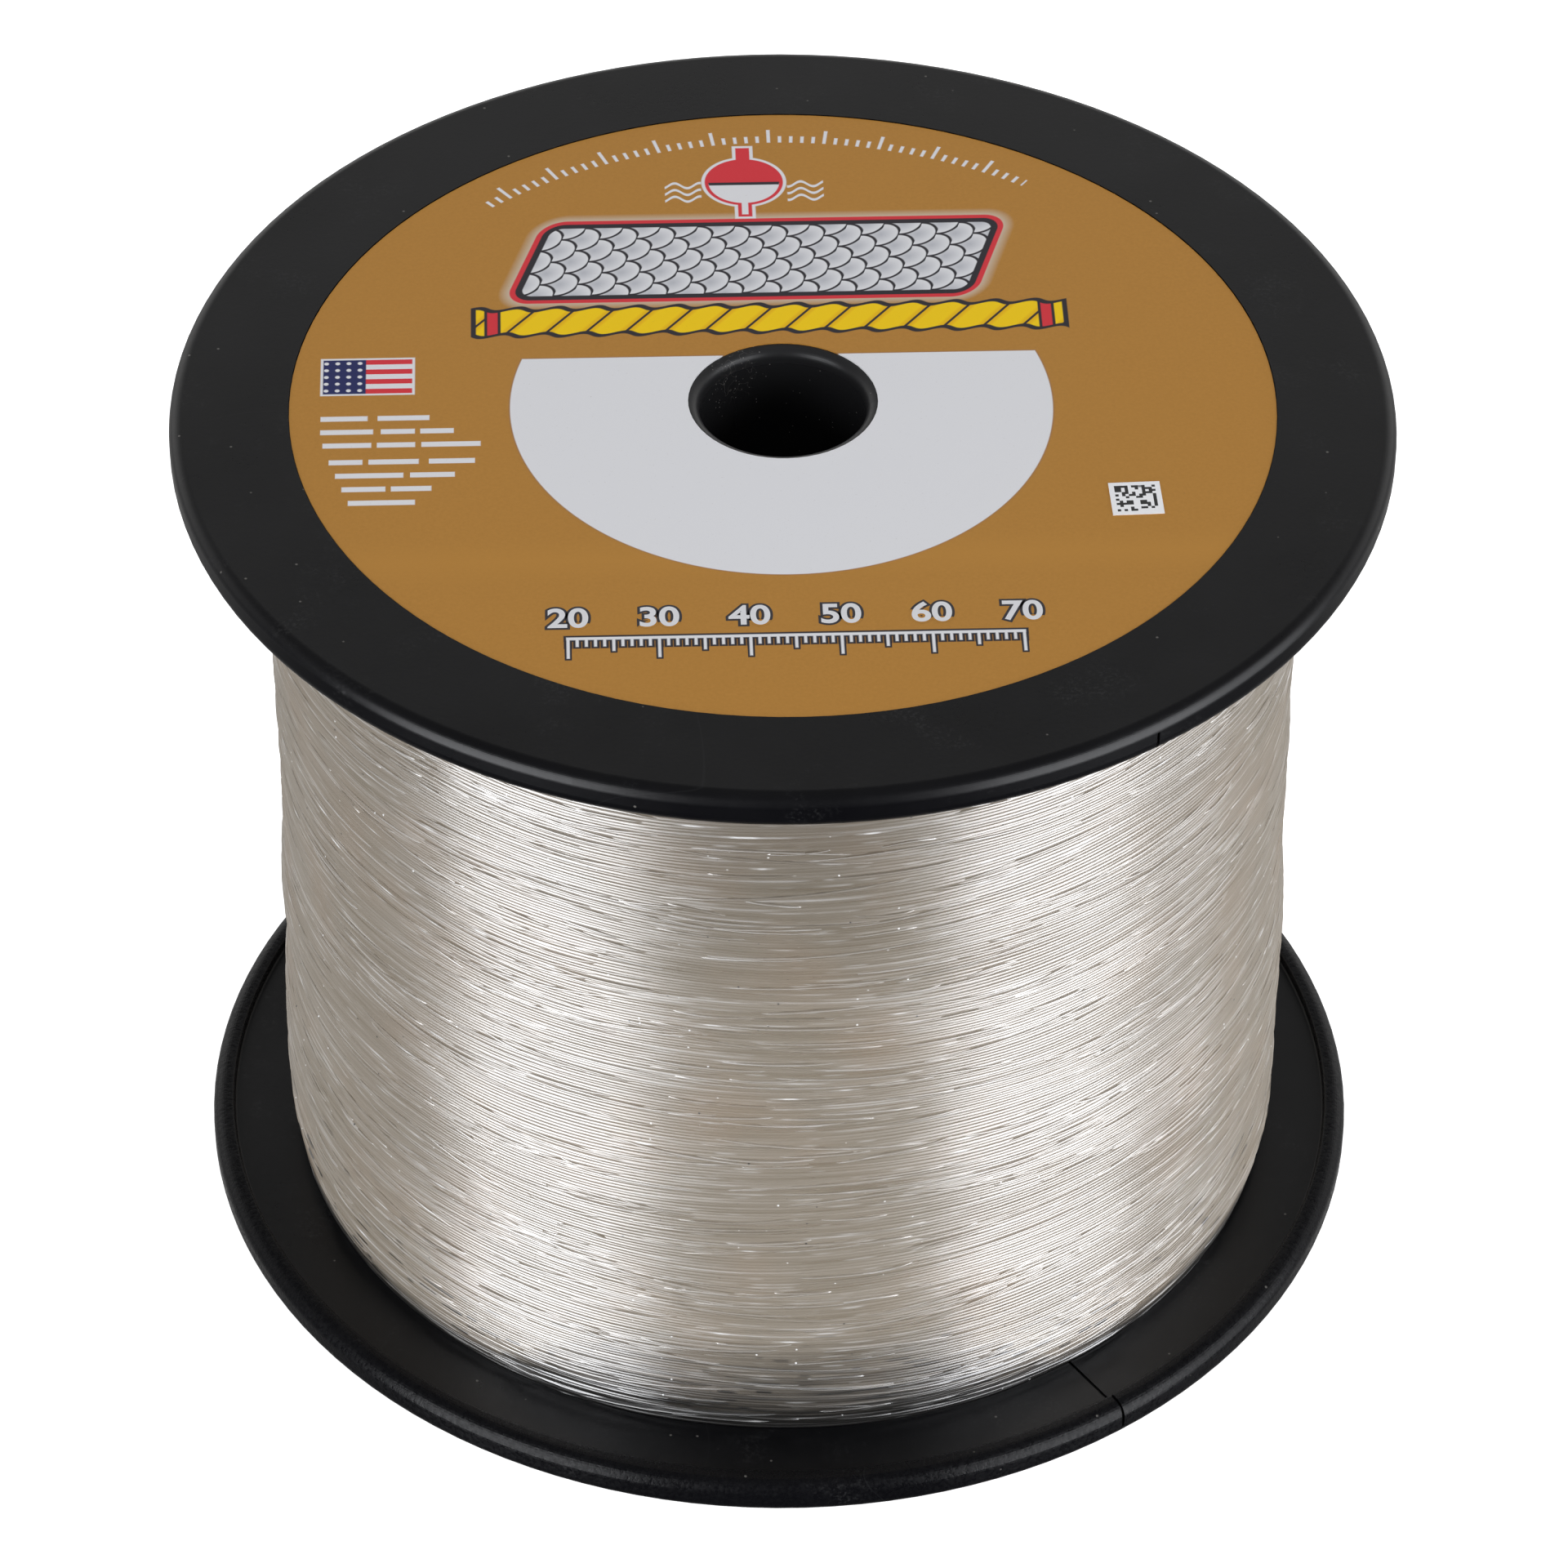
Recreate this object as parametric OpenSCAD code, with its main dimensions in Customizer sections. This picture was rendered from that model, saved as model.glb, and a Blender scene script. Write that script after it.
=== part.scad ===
// Bulk fishing line spool: a flanged plastic spool, its pack of clear line,
// its paper labels and the tapes that hold the line's two ends.
// Millimetres. The spool stands on its lower flange, centred on Z.

/* [Spool] */
// Diameter of both flanges
flange_d = 140; // [134:0.5:150]
// Height over both flanges
spool_h = 110; // [80:1:140]
// Diameter of the bore that an arbor goes through
bore_d = 19.2; // [16:0.1:20]

/* [Flanges] */
// Thickness of a flange's plate
plate_t = 3.4; // [2.8:0.1:4]
// Thickness of a flange at its raised rim bead
rim_t = 4.6; // [4.2:0.1:5]
// Width of the rim bead
rim_w = 2.6; // [2.2:0.1:3.2]
// Rounding between a flange's outer face and its rim
rim_outer_r = 1.5; // [1:0.1:2.4]
// Rounding between the rim and the bead's top
rim_inner_r = 1.8; // [0.5:0.1:2.2]
// Depth of the groove that a barrel end sits in
barrel_seat_h = 1.2; // [0.8:0.1:1.6]
// Direction of the mould line across the flanges' inner faces
mould_line_angle = -54.3; // [-180:0.1:180]

/* [Barrel and arbor tube] */
// Outer diameter of the barrel that the line is wound on
barrel_d = 96; // [80:1:104]
// Wall of the barrel
barrel_wall = 3; // [2:0.1:4]
// Wall of the arbor tube where it goes through the flanges
tube_wall = 3; // [2.4:0.1:4]
// Width of the shoulder that a flange rests on
tube_shoulder = 1.6; // [1:0.1:3]
// Rounding of the bore's two mouths
mouth_r = 1.2; // [0.4:0.1:1.2]
// Number of fins between the arbor tube and the barrel
fin_count = 6; // [3:1:8]
// Thickness of a fin
fin_t = 2; // [1.4:0.1:3]

/* [Wound line] */
// Mean diameter of the full pack of line
pack_d = 120.7; // [112:0.1:124]
// How far the pack's outline wanders in and out
pack_wave = 0.35; // [0:0.05:0.6]
// How far the pack rounds in where it meets the upper flange
pack_shoulder = 1.4; // [0:0.1:3]
// How far it rounds in where it meets the lower flange
pack_foot = 0.9; // [0:0.1:3]

/* [Labels and tapes] */
// Diameter of the round labels
label_d = 112.6; // [100:0.1:120]
// Diameter of the hole in a label
label_hole_d = 21.7; // [21:0.1:24]
// Thickness of a label
label_t = 0.15; // [0.1:0.01:0.2]
// Depth of the recess that a label is stuck in
label_recess = 0.25; // [0.25:0.01:0.4]
// Side of the small square sticker
sticker_w = 5.8; // [4:0.1:10]
// Thickness of the small square sticker
sticker_t = 0.08; // [0.05:0.01:0.1]
// Thickness of the tapes at the line's two ends
tape_t = 0.12; // [0.08:0.01:0.2]

/* [Hidden] */
$fn = 96;

black = [0.11, 0.11, 0.115];
clear_line = [0.78, 0.75, 0.70];
gold = [0.64, 0.46, 0.23];
paper_white = [0.88, 0.88, 0.90];
tape_clear = [0.85, 0.84, 0.78];

flange_r = flange_d / 2;
bore_r = bore_d / 2;
barrel_r = barrel_d / 2;
barrel_inner_r = barrel_r - barrel_wall;
tube_end_r = bore_r + tube_wall;
tube_r = tube_end_r + tube_shoulder;
label_r = label_d / 2;
label_fit = 0.1;                        // gap between a label and its recess
bead_fillet = 0.3;                      // blend at the foot and edge of the rim bead
pack_z0 = plate_t;
pack_h = spool_h - 2 * plate_t;
pack_steps = 36;                        // rings of the pack's outline
shoulder_reach = 4.5;                   // height over which the pack rounds in
fin_gap = 5;                            // space between a fin's end and a flange
mould_line_w = 0.36;
mould_line_plate = 0.3;                 // depth of the mould line in the plate
mould_line_rim = 0.34;                  // depth of the mould line round the bead
sticker_at = [39.7, -17.8];
sticker_turn = 4;
start_tape_turn = [200, 226];           // from and to, round the barrel
start_tape_h = 14;
end_tape_turn = [78, 101];              // from and to, round the back of the pack
end_tape_rings = [12, 18];              // from and to, counted up the pack's rings

// Points of an arc round [x, y], from angle a0 to angle a1
function arc(x, y, r, a0, a1, steps = 10) =
    [for (i = [0:steps]) let (a = a0 + (a1 - a0) * i / steps) [x + r * cos(a), y + r * sin(a)]];

// Height of one ring of the pack's outline
function ring_z(i) = pack_z0 + pack_h * i / pack_steps;

// Radius of the pack at a height: a slow wander, rounded in at both flanges
function pack_radius(z) =
    let (low = z - plate_t, high = spool_h - plate_t - z)
    pack_d / 2 + pack_wave * (sin(360 * z / 83 + 20) + 0.35 * sin(360 * z / 29))
    - pack_foot * exp(-pow(low / shoulder_reach, 2) * 2)
    - pack_shoulder * exp(-pow(high / shoulder_reach, 2) * 2);

// A cylindrical patch: a strip of a tube's wall between two angles
module wall_patch(r, t, z, h, turn) {
    rotate([0, 0, turn[0]])
        rotate_extrude(angle = turn[1] - turn[0])
            translate([r, z]) square([t, h]);
}

module flange_section() {
    rim_foot = flange_r - rim_w;
    polygon(concat(
        [[tube_end_r, label_recess], [label_r + label_fit, label_recess], [label_r + label_fit, 0]],
        arc(flange_r - rim_outer_r, rim_outer_r, rim_outer_r, -90, 0, 14),
        arc(flange_r - rim_inner_r, rim_t - rim_inner_r, rim_inner_r, 0, 90),
        arc(rim_foot + bead_fillet, rim_t - bead_fillet, bead_fillet, 90, 180, 4),
        arc(rim_foot - bead_fillet, plate_t + bead_fillet, bead_fillet, 360, 270, 4),
        [[barrel_r, plate_t], [barrel_r, plate_t - barrel_seat_h],
         [barrel_inner_r, plate_t - barrel_seat_h], [barrel_inner_r, plate_t],
         [tube_end_r, plate_t]]
    ));
}

// The thin cut that the meeting mould halves leave across plate, bead and rim
module mould_line() {
    cut = mould_line_rim;
    clear = 2;
    rotate([90, 0, 0])
        linear_extrude(height = mould_line_w, center = true)
            polygon(concat(
                [[pack_d / 2 - 2, rim_t + clear], [pack_d / 2 - 2, plate_t - mould_line_plate],
                 [flange_r - rim_w, plate_t - mould_line_plate], [flange_r - rim_w + cut, rim_t - cut]],
                arc(flange_r - rim_inner_r, rim_t - rim_inner_r, rim_inner_r - cut, 90, 0, 5),
                [[flange_r - cut, rim_outer_r], [flange_r + clear, rim_outer_r],
                 [flange_r + clear, rim_t + clear]]
            ));
}

// One flange, its outer face down on Z = 0
module flange() {
    difference() {
        rotate_extrude() flange_section();
        for (side = [0, 180]) rotate([0, 0, mould_line_angle + side]) mould_line();
    }
}

module lower_flange() color(black) flange();

// The same moulding turned over, with its mould line above the lower one's
module upper_flange() color(black)
    translate([0, 0, spool_h])
        rotate([0, 0, 2 * mould_line_angle])
            rotate([180, 0, 0])
                flange();

module winding_barrel() color(black) {
    seated_z = plate_t - barrel_seat_h;
    barrel_h = spool_h - 2 * seated_z;
    difference() {
        translate([0, 0, seated_z]) cylinder(r = barrel_r, h = barrel_h);
        translate([0, 0, seated_z - 1]) cylinder(r = barrel_inner_r, h = barrel_h + 2);
    }
}

module arbor_tube_section() {
    low = label_recess;
    high = spool_h - label_recess;
    polygon(concat(
        arc(bore_r + mouth_r, low + mouth_r, mouth_r, 180, 270),
        [[tube_end_r, low], [tube_end_r, plate_t], [tube_r, plate_t],
         [tube_r, spool_h - plate_t], [tube_end_r, spool_h - plate_t], [tube_end_r, high]],
        arc(bore_r + mouth_r, high - mouth_r, mouth_r, 90, 180)
    ));
}

// Fins between the tube and the barrel keep the barrel round and centred
module fins() {
    fin_z = plate_t + fin_gap;
    fin_h = spool_h - 2 * fin_z;
    intersection() {
        translate([0, 0, fin_z]) cylinder(r = barrel_inner_r, h = fin_h);
        for (i = [0:fin_count - 1])
            rotate([0, 0, i * 360 / fin_count])
                translate([tube_r - 0.5, -fin_t / 2, fin_z])
                    cube([barrel_inner_r - tube_r + 2, fin_t, fin_h]);
    }
}

module arbor_tube() color(black)
    union() {
        rotate_extrude() arbor_tube_section();
        fins();
    }

module line_winding() color(clear_line)
    difference() {
        rotate_extrude()
            polygon(concat(
                [[barrel_r, pack_z0]],
                [for (i = [0:pack_steps]) [pack_radius(ring_z(i)), ring_z(i)]],
                [[barrel_r, pack_z0 + pack_h]]
            ));
        start_tape_patch();
    }

module label() {
    difference() {
        cylinder(r = label_r, h = label_t);
        translate([0, 0, -1]) cylinder(d = label_hole_d, h = label_t + 2);
    }
}

module top_label() color(gold)
    translate([0, 0, spool_h - label_recess]) label();

module bottom_label() color(gold)
    translate([0, 0, label_recess - label_t]) label();

module code_sticker() color(paper_white)
    translate([sticker_at[0], sticker_at[1], spool_h - label_recess + label_t])
        rotate([0, 0, sticker_turn])
            translate([-sticker_w / 2, -sticker_w / 2, 0])
                cube([sticker_w, sticker_w, sticker_t]);

module start_tape_patch()
    wall_patch(barrel_r, tape_t, spool_h / 2 - start_tape_h / 2, start_tape_h, start_tape_turn);

// Holds the first turn of line down on the barrel, under the pack
module start_tape() color(tape_clear) start_tape_patch();

// Holds the free end of the line down on the back of the pack
module end_tape() color(tape_clear) {
    rings = [end_tape_rings[0]:end_tape_rings[1]];
    back = [end_tape_rings[1]:-1:end_tape_rings[0]];
    rotate([0, 0, end_tape_turn[0]])
        rotate_extrude(angle = end_tape_turn[1] - end_tape_turn[0])
            polygon(concat(
                [for (i = rings) [pack_radius(ring_z(i)) + tape_t, ring_z(i)]],
                [for (i = back) [pack_radius(ring_z(i)), ring_z(i)]]
            ));
}

lower_flange();
upper_flange();
winding_barrel();
arbor_tube();
line_winding();
top_label();
bottom_label();
code_sticker();
start_tape();
end_tape();
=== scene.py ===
import math

import bpy
import numpy as np
from mathutils import Matrix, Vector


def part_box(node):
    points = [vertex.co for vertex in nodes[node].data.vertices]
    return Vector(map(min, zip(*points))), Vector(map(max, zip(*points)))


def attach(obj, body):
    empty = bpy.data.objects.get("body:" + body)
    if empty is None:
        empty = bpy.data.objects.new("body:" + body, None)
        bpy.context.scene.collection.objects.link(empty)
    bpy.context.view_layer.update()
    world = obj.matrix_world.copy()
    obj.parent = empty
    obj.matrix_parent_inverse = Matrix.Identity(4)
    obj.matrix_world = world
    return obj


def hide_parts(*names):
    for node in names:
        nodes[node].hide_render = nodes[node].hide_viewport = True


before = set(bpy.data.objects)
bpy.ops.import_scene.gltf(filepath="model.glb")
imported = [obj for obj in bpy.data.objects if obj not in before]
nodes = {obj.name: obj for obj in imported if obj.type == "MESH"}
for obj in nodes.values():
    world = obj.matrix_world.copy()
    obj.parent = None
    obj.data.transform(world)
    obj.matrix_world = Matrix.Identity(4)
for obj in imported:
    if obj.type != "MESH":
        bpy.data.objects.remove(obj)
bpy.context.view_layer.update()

# Bulk spool of clear line: black flanged spool, the wound line, two paper labels and a sticker.
# Sizes in the dictionaries are millimetres and degrees; mm() turns them into metres.

scene = bpy.context.scene
scene.view_settings.view_transform = "Standard"
print("frame loaded:", ", ".join(sorted(nodes)))


def mm(value):
    return value * 0.001


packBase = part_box("line_winding")[0].z * 1000     # the lower flange's inner face
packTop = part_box("line_winding")[1].z * 1000      # the upper flange's inner face
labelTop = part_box("top_label")[1].z * 1000


def deselectAll():
    if bpy.context.object and bpy.context.object.mode != "OBJECT":
        bpy.ops.object.mode_set(mode="OBJECT")
    bpy.ops.object.select_all(action="DESELECT")


class Wire:                          # a node's socket that can be used in sums
    def __init__(self, paint, socket):
        self.paint, self.socket = paint, socket

    def maths(self, operation, *values):
        return self.paint.node("Math", {"operation": operation}, dict(enumerate(values)))

    def __add__(self, other):
        return self.maths("ADD", self, other)

    def __sub__(self, other):
        return self.maths("SUBTRACT", self, other)

    def __rsub__(self, other):
        return self.maths("SUBTRACT", other, self)

    def __mul__(self, other):
        return self.maths("MULTIPLY", self, other)

    def __truediv__(self, other):
        return self.maths("DIVIDE", self, other)

    def __pow__(self, other):
        return self.maths("POWER", self, other)

    def __neg__(self):
        return self.maths("MULTIPLY", self, -1)

    def __abs__(self):
        return self.maths("ABSOLUTE", self)

    __radd__ = __add__
    __rmul__ = __mul__

    def clamp(self):
        return self.paint.node("Clamp", {}, {0: self})

    def sine(self):
        return self.maths("SINE", self)

    def least(self, other):
        return self.maths("MINIMUM", self, other)

    def most(self, other):
        return self.maths("MAXIMUM", self, other)

    def fraction(self):
        return self.maths("FRACT", self)

    def whole(self):
        return self.maths("FLOOR", self)

    def above(self, limit, spread):      # 0 below the limit, 1 above it, soft over the spread
        return ((self - limit) / spread + 0.5).clamp()

    def below(self, limit, spread):
        return ((limit - self) / spread + 0.5).clamp()


def radiusOf(x, y):
    return (x * x + y * y) ** 0.5


class Paint:                         # a material's node tree, or the world's
    def __init__(self, owner):
        owner.use_nodes = True
        self.tree = owner.node_tree
        self.tree.nodes.clear()

    def node(self, kind, settings=None, sockets=None, output=0):
        made = self.tree.nodes.new("ShaderNode" + kind)
        for key, value in (settings or {}).items():
            setattr(made, key, value)
        for key, value in (sockets or {}).items():
            if isinstance(value, Wire):
                self.tree.links.new(value.socket, made.inputs[key])
            elif isinstance(value, tuple) and len(made.inputs[key].default_value) == 4:
                made.inputs[key].default_value = (*value, 1)
            else:
                made.inputs[key].default_value = value
        return Wire(self, made.outputs[output]) if made.outputs else None

    def place(self, turn=0.0, centre=(0, 0, 0)):  # millimetres from a centre, turned about Z
        return self.node("Mapping", {"vector_type": "TEXTURE"}, {
            "Vector": self.node("TexCoord", {}, {}, "Object"), "Scale": (mm(1),) * 3,
            "Location": tuple(mm(c) for c in centre), "Rotation": (0, 0, math.radians(turn))})

    def split(self, vector):
        parts = self.node("SeparateXYZ", {}, {0: vector})
        return [Wire(self, socket) for socket in parts.socket.node.outputs]

    def gather(self, x, y, z):
        return self.node("CombineXYZ", {}, {0: x, 1: y, 2: z})

    def noise(self, vector, scale, detail=2.0, rough=0.5):
        return self.node("TexNoise", {}, {"Vector": vector, "Scale": scale, "Detail": detail,
                                          "Roughness": rough})

    def stamp(self, ground, toEdge, ink, soft=0.12):   # ink where the distance to its edge is negative
        return self.mix(toEdge.below(0, soft), ground, ink)

    def cells(self, vector, scale, output):       # distance to the nearest random point, or its colour
        return self.node("TexVoronoi", {}, {"Vector": vector, "Scale": scale}, output)

    def mix(self, factor, first, second):         # colours
        return self.node("Mix", {"data_type": "RGBA"}, {0: factor, 6: first, 7: second}, 2)

    def bump(self, height, depth):                # depth in millimetres
        return self.node("Bump", {}, {"Height": height, "Distance": mm(depth)})

    def finish(self, sockets, share=None, others=None):     # others take over where the share is 1
        surface = self.node("BsdfPrincipled", {}, sockets)
        if others:
            second = self.node("BsdfPrincipled", {}, {**sockets, **others})
            surface = self.node("MixShader", {}, {0: share, 1: surface, 2: second})
        self.node("OutputMaterial", {}, {"Surface": surface})


def newPaint(name):
    material = bpy.data.materials.new(name)
    return material, Paint(material)


def dress(piece, material):
    piece.data.materials.clear()
    piece.data.materials.append(material)


# camera and studio

view = {
    "lens": 160.16,
    "sensor": 36,
    "elevation": 40.564,
    "distance": 833.6,
    "lookAt": (0.37, 0.0, 52.2),
    "roll": 0.34,
    "clip": (0.05, 30),              # metres
}

studio = {
    "panels": {                      # turn from the camera's side, lift, width, height, brightness
        "leftPanel": (-46.4, 0, 800, 1310, 3.6),
        "rightPanel": (52.3, 0, 770, 1310, 3.35),
        "farRightPanel": (82, 8, 560, 1050, 1.7),
        "topPanel": (0, 90, 900, 900, 1.03),
    },
    "panelDistance": 1100,
    "panelAim": 55,                  # half the spool's height
    "panelTint": (0.985, 1.0, 1.035),
    "skyTop": 0.15,
    "skyBack": 0.78,                 # added low on the far side, where a pale wall stands
    "skyBackEdge": (0.53, 0.22),     # its upper edge and how soft that is
    "skyFront": 0.45,                # share that is missing on the camera's side
    "skyBelow": 0.05,                # from the floor on the camera's side
    "skyBelowBack": 0.42,            # and from the floor on the far side
    "skyHorizon": (-0.05, 0.1),      # where the wall starts, and how soft that is
    "skyTint": (1.0, 0.994, 0.98),
    "pageGlow": 0.95,                # the bare background beyond the floor
    "floorSize": 9000,
    "floorGap": 0.2,                 # under the spool
    "floorShade": (0.80, 0.80, 0.80),
    "floorGlow": 0.9,
}


def makeCamera():
    data = bpy.data.cameras.new("camera")
    data.lens, data.sensor_width = view["lens"], view["sensor"]
    data.clip_start, data.clip_end = view["clip"]
    camera = bpy.data.objects.new("camera", data)
    scene.collection.objects.link(camera)
    lift = math.radians(view["elevation"])
    x, y, z = view["lookAt"]
    stand = Matrix.Translation((mm(x), mm(y - view["distance"] * math.cos(lift)),
                                mm(z + view["distance"] * math.sin(lift))))
    tilt = Matrix.Rotation(math.pi / 2 - lift, 4, "X")
    camera.matrix_world = stand @ tilt @ Matrix.Rotation(math.radians(view["roll"]), 4, "Z")
    scene.camera = camera


def makePanel(name, turn, lift, width, height, light):
    data = bpy.data.lights.new(name, "AREA")
    data.shape, data.size, data.size_y = "RECTANGLE", mm(width), mm(height)
    data.color = studio["panelTint"]
    data.energy = light * mm(width) * mm(height) * 4
    panel = bpy.data.objects.new(name, data)
    scene.collection.objects.link(panel)
    arm = Matrix.Rotation(math.radians(turn), 4, "Z") @ Matrix.Rotation(math.radians(90 - lift), 4, "X")
    panel.matrix_world = (Matrix.Translation((0, 0, mm(studio["panelAim"]))) @ arm
                          @ Matrix.Translation((0, 0, mm(studio["panelDistance"]))))
    panel.visible_glossy = lift < 90          # the one overhead only fills in


def makeSky():
    scene.world = bpy.data.worlds.new("studio")
    sky = Paint(scene.world)
    _, back, up = sky.split(sky.node("TexCoord", {}, {}, "Generated"))
    edge, spread = studio["skyBackEdge"]
    wall = up.below(edge, spread) * (back * 1.4).clamp() * up.above(*studio["skyHorizon"])
    below = studio["skyBelow"] + (studio["skyBelowBack"] - studio["skyBelow"]) * back.above(0.35, 0.8)
    light = studio["skyTop"] + (below - studio["skyTop"]) * up.below(-0.05, 0.3)
    light = light * (1 - studio["skyFront"] * (-back).above(0.45, 0.7)) + studio["skyBack"] * wall
    glow = sky.node("Background", {}, {"Color": studio["skyTint"], "Strength": light})
    seen = sky.node("Background", {}, {"Color": (1, 1, 1), "Strength": studio["pageGlow"]})
    straight = sky.node("LightPath", {}, {}, "Is Camera Ray")
    sky.node("OutputWorld", {}, {"Surface": sky.node("MixShader", {}, {0: straight, 1: glow, 2: seen})})


def makeFloor():
    deselectAll()
    bpy.ops.mesh.primitive_plane_add(size=mm(studio["floorSize"]),
                                     location=(0, 0, -mm(studio["floorGap"])))
    floor = bpy.context.object
    floor.name = "floor"
    material, paint = newPaint("paleFloor")
    cloudy = paint.noise(paint.place(), 0.002, 2)
    shade = studio["floorShade"]
    paint.finish({"Base Color": paint.mix(cloudy, shade, tuple(c * 0.985 for c in shade)),
                  "Roughness": 0.8, "Emission Color": (1, 1, 1),
                  "Emission Strength": studio["floorGlow"]})
    dress(floor, material)
    # the camera sees it, the panels shine through it, and nothing mirrors it or is lit by it
    floor.visible_glossy = floor.visible_diffuse = floor.visible_shadow = False


makeCamera()
for panelName, panelShape in studio["panels"].items():
    makePanel(panelName, *panelShape)
makeSky()
makeFloor()
print("camera and studio ready")


# black spool

plastic = {
    "black": (0.0022, 0.0022, 0.0030),
    "worn": (0.0039, 0.0039, 0.0048),
    "scuff": (0.03, 0.03, 0.031),
    "roughness": 0.31,
    "rimFrom": 67.5,                 # radius at which a flange's rim starts
    "specks": (0.34, 0.05, 0.66),    # dust: how close, how big and how rare
    "grain": 0.006,                  # depth of the moulded surface's grain
    "pitting": (7, 0.6),             # how much deeper and more uneven a coarse rim is
    "boreBlack": (0.016, 0.016, 0.017),
    "boreRoughness": 0.2,
    "boreDust": (-5.5, 7.6, 3.2),    # where it gathers, and how wide
    "boreSpecks": 2.6,
    "boreGrain": 0.005,
    "mouth": 1.9,                    # depth of the bore's duller mouth
    "dust": (0.20, 0.19, 0.175),
    # shine, shine of the rim's side, height up to which that side reaches, and 1 for a coarse rim
    "upper": (0.34, 0.12, 108.6, 0),
    "lower": (0.39, 0.18, 6, 1),
}


def blackPlastic(name, shine, sideShine, sideTop, coarse):
    material, paint = newPaint(name)
    spot = paint.place()
    x, y, z = paint.split(spot)
    cloudy = paint.noise(spot, 0.045, 3, 0.6)
    fine = paint.noise(spot, 1.7, 2, 0.6)
    # scratches: the thin contour where a slow noise passes its middle, kept in a few places
    slow = paint.noise(paint.place(37), 0.014, 0.6, 0.3)
    scratch = (abs(slow - 0.5)).below(0.0003, 0.0005) * paint.noise(spot, 0.06, 0).above(0.55, 0.08)
    rubbed = paint.noise(spot, 0.11, 4, 0.7).above(0.61, 0.12)
    rub = rubbed * paint.noise(spot, 2.2, 3, 0.7).above(0.57, 0.1)
    close, big, rare = plastic["specks"]
    chance = paint.split(paint.cells(spot, close, "Color"))[0]
    speck = paint.cells(spot, close, "Distance").below(big, 0.03) * chance.above(rare, 0.02)
    rim = radiusOf(x, y).above(plastic["rimFrom"], 0.6)
    base = paint.mix(cloudy.above(0.5, 0.4), plastic["black"], plastic["worn"])
    base = paint.mix((scratch * 0.2 + rub * 0.4).clamp(), base, plastic["scuff"])
    base = paint.mix(speck * 0.6, base, plastic["dust"])
    pitted = paint.noise(spot, 2.1, 2, 0.6)
    deeper, uneven = plastic["pitting"]
    rough = plastic["roughness"] + (cloudy - 0.5) * 0.12 + (fine - 0.5) * 0.1 + rub * 0.15
    rough = rough + rim * coarse * (pitted - 0.5) * uneven
    paint.finish({"Base Color": base, "Roughness": rough.clamp(), "IOR": 1.5,
                  "Specular IOR Level": shine,
                  "Normal": paint.bump(fine + rim * pitted * (coarse * deeper), plastic["grain"])},
                 rim * z.below(sideTop, 0.4), {"Specular IOR Level": sideShine})
    return material


def boreBlack():
    material, paint = newPaint("boreBlack")
    spot = paint.place()
    x, y, z = paint.split(spot)
    chance = paint.split(paint.cells(spot, plastic["boreSpecks"], "Color"))[0]
    dustX, dustY, dustWidth = plastic["boreDust"]
    dusty = radiusOf(x - dustX, y - dustY).below(dustWidth, 3) * z.above(103, 5)
    dusty = (dusty + paint.noise(spot, 0.16, 2).above(0.6, 0.2) * 0.3).clamp() * z.above(98, 12)
    speck = paint.cells(spot, plastic["boreSpecks"], "Distance").below(0.16, 0.08)
    speck = speck * chance.above(0.985 - 0.5 * dusty, 0.02)
    hair = abs(paint.noise(spot, 0.8, 1) - 0.5).below(0.004, 0.006) * dusty.above(0.75, 0.3) * 0.6
    fine = paint.noise(spot, 1.4, 3, 0.6)
    mouth = z.above(labelTop - plastic["mouth"], 0.5)
    base = paint.mix((speck + hair).clamp(), plastic["boreBlack"], plastic["dust"])
    rough = plastic["boreRoughness"] + fine * 0.06 + speck * 0.3 + mouth * 0.16
    paint.finish({"Base Color": base, "Roughness": rough, "IOR": 1.5, "Specular IOR Level": 0.4,
                  "Normal": paint.bump(fine + speck, plastic["boreGrain"])})
    return material


upperBlack = blackPlastic("satinBlack", *plastic["upper"])
lowerBlack = blackPlastic("dullBlack", *plastic["lower"])
dress(nodes["upper_flange"], upperBlack)
dress(nodes["winding_barrel"], upperBlack)
dress(nodes["lower_flange"], lowerBlack)
dress(nodes["arbor_tube"], boreBlack())
print("black spool dressed")


# wound line

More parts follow.
